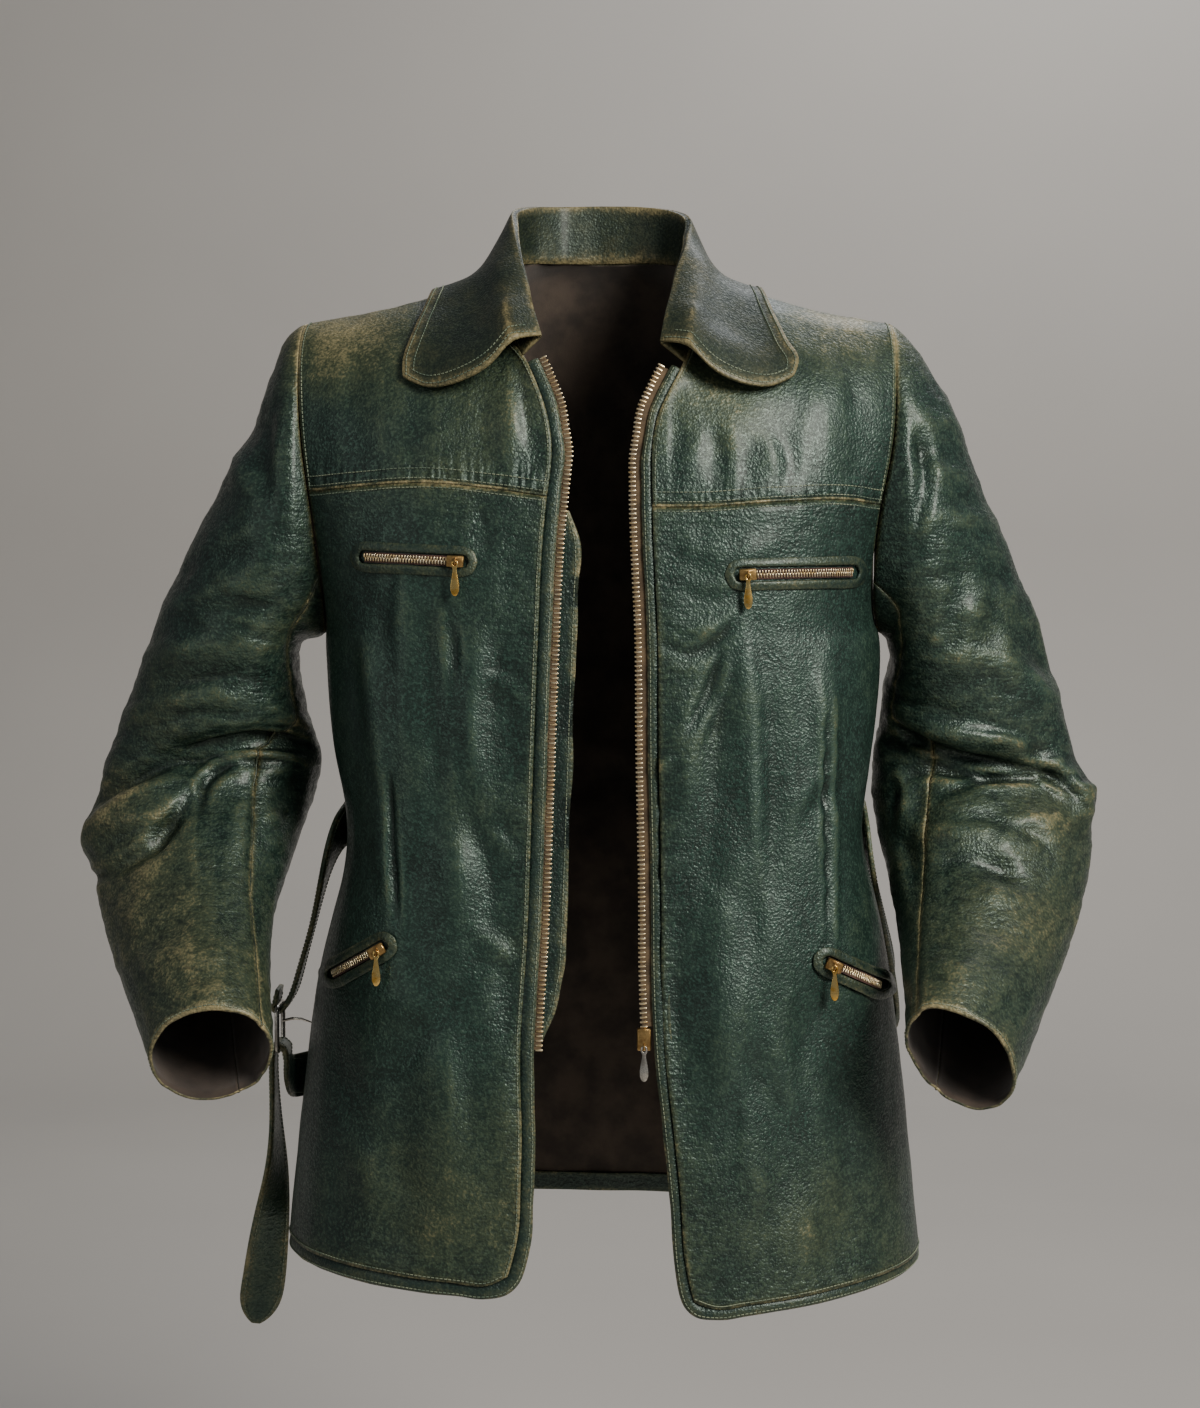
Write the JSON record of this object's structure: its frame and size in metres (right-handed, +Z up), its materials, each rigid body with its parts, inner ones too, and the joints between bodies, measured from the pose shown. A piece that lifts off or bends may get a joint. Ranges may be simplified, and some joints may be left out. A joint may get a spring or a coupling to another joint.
{
  "type": "motoring coat",
  "caption": "Hip-length leather motoring coat, worn open, with a turned-down collar, front yokes, full front zip, zipped chest and hip pockets, and a waist belt with a metal buckle.",
  "frame": {"origin": "midway between the wearer's shoulders, where the wearer or a hanger holds the coat up", "axes": "+X towards the wearer's left, +Y towards the wearer's back, +Z up; the front faces -Y"},
  "size_m": [0.773, 0.339, 0.864],
  "materials": {
    "leather": "worn bottle green, semi-gloss, grained",
    "trim": "worn bottle green, edges rubbed tan",
    "strap": "bottle green strap, stitched edges",
    "zip": "aged brass teeth on beige tape",
    "brass": "aged, dull",
    "gilt": "polished gold colour",
    "nickel": "worn nickel plate"
  },
  "bodies": {
    "coat": {"back": "leather", "front_left": "leather", "front_right": "leather", "yoke_left": "leather", "yoke_right": "leather", "sleeve_top_left": "leather", "sleeve_top_right": "leather", "sleeve_under_left": "leather", "sleeve_under_right": "leather", "collar": "leather", "band_back": "trim", "band_left": "trim", "band_right": "trim", "wind_flap": "trim", "welt_chest_left": "trim", "welt_chest_right": "trim", "welt_hip_left": "trim", "welt_hip_right": "trim", "belt_loop_left": "trim", "belt_loop_right": "trim", "belt": "strap", "zip_left": "zip", "zip_right": "zip", "zip_chest_left": "zip", "zip_chest_right": "zip", "zip_hip_left": "zip", "zip_hip_right": "zip", "slider_chest_left": "brass", "slider_chest_right": "brass", "slider_hip_left": "brass", "slider_hip_right": "brass", "slider_main": "brass", "buckle_frame": "nickel", "buckle_prong": "nickel"},
    "pull_chest_left_body": {"pull_chest_left": "gilt"},
    "pull_chest_right_body": {"pull_chest_right": "gilt"},
    "pull_hip_left_body": {"pull_hip_left": "gilt"},
    "pull_hip_right_body": {"pull_hip_right": "gilt"},
    "pull_main_body": {"pull_main": "nickel"}
  },
  "joints": [
    {"name": "pull_chest_left_swing", "type": "hinge", "parent": "coat", "child": "pull_chest_left_body", "pos_m": [0.1066, -0.12747, -0.20522], "axis": [-1, 0, 0], "range_deg": [0, 120]},
    {"name": "pull_chest_right_swing", "type": "hinge", "parent": "coat", "child": "pull_chest_right_body", "pos_m": [-0.10141, -0.12768, -0.19597], "axis": [-1, 0, 0], "range_deg": [0, 120]},
    {"name": "pull_hip_left_swing", "type": "hinge", "parent": "coat", "child": "pull_hip_left_body", "pos_m": [0.16897, -0.1246, -0.48454], "axis": [-1, 0, 0], "range_deg": [0, 120]},
    {"name": "pull_hip_right_swing", "type": "hinge", "parent": "coat", "child": "pull_hip_right_body", "pos_m": [-0.15807, -0.127, -0.47368], "axis": [-1, 0, 0], "range_deg": [0, 120]},
    {"name": "pull_main_swing", "type": "hinge", "parent": "coat", "child": "pull_main_body", "pos_m": [0.03277, -0.13713, -0.5404], "axis": [-1, 0, 0], "range_deg": [0, 120]}
  ]
}
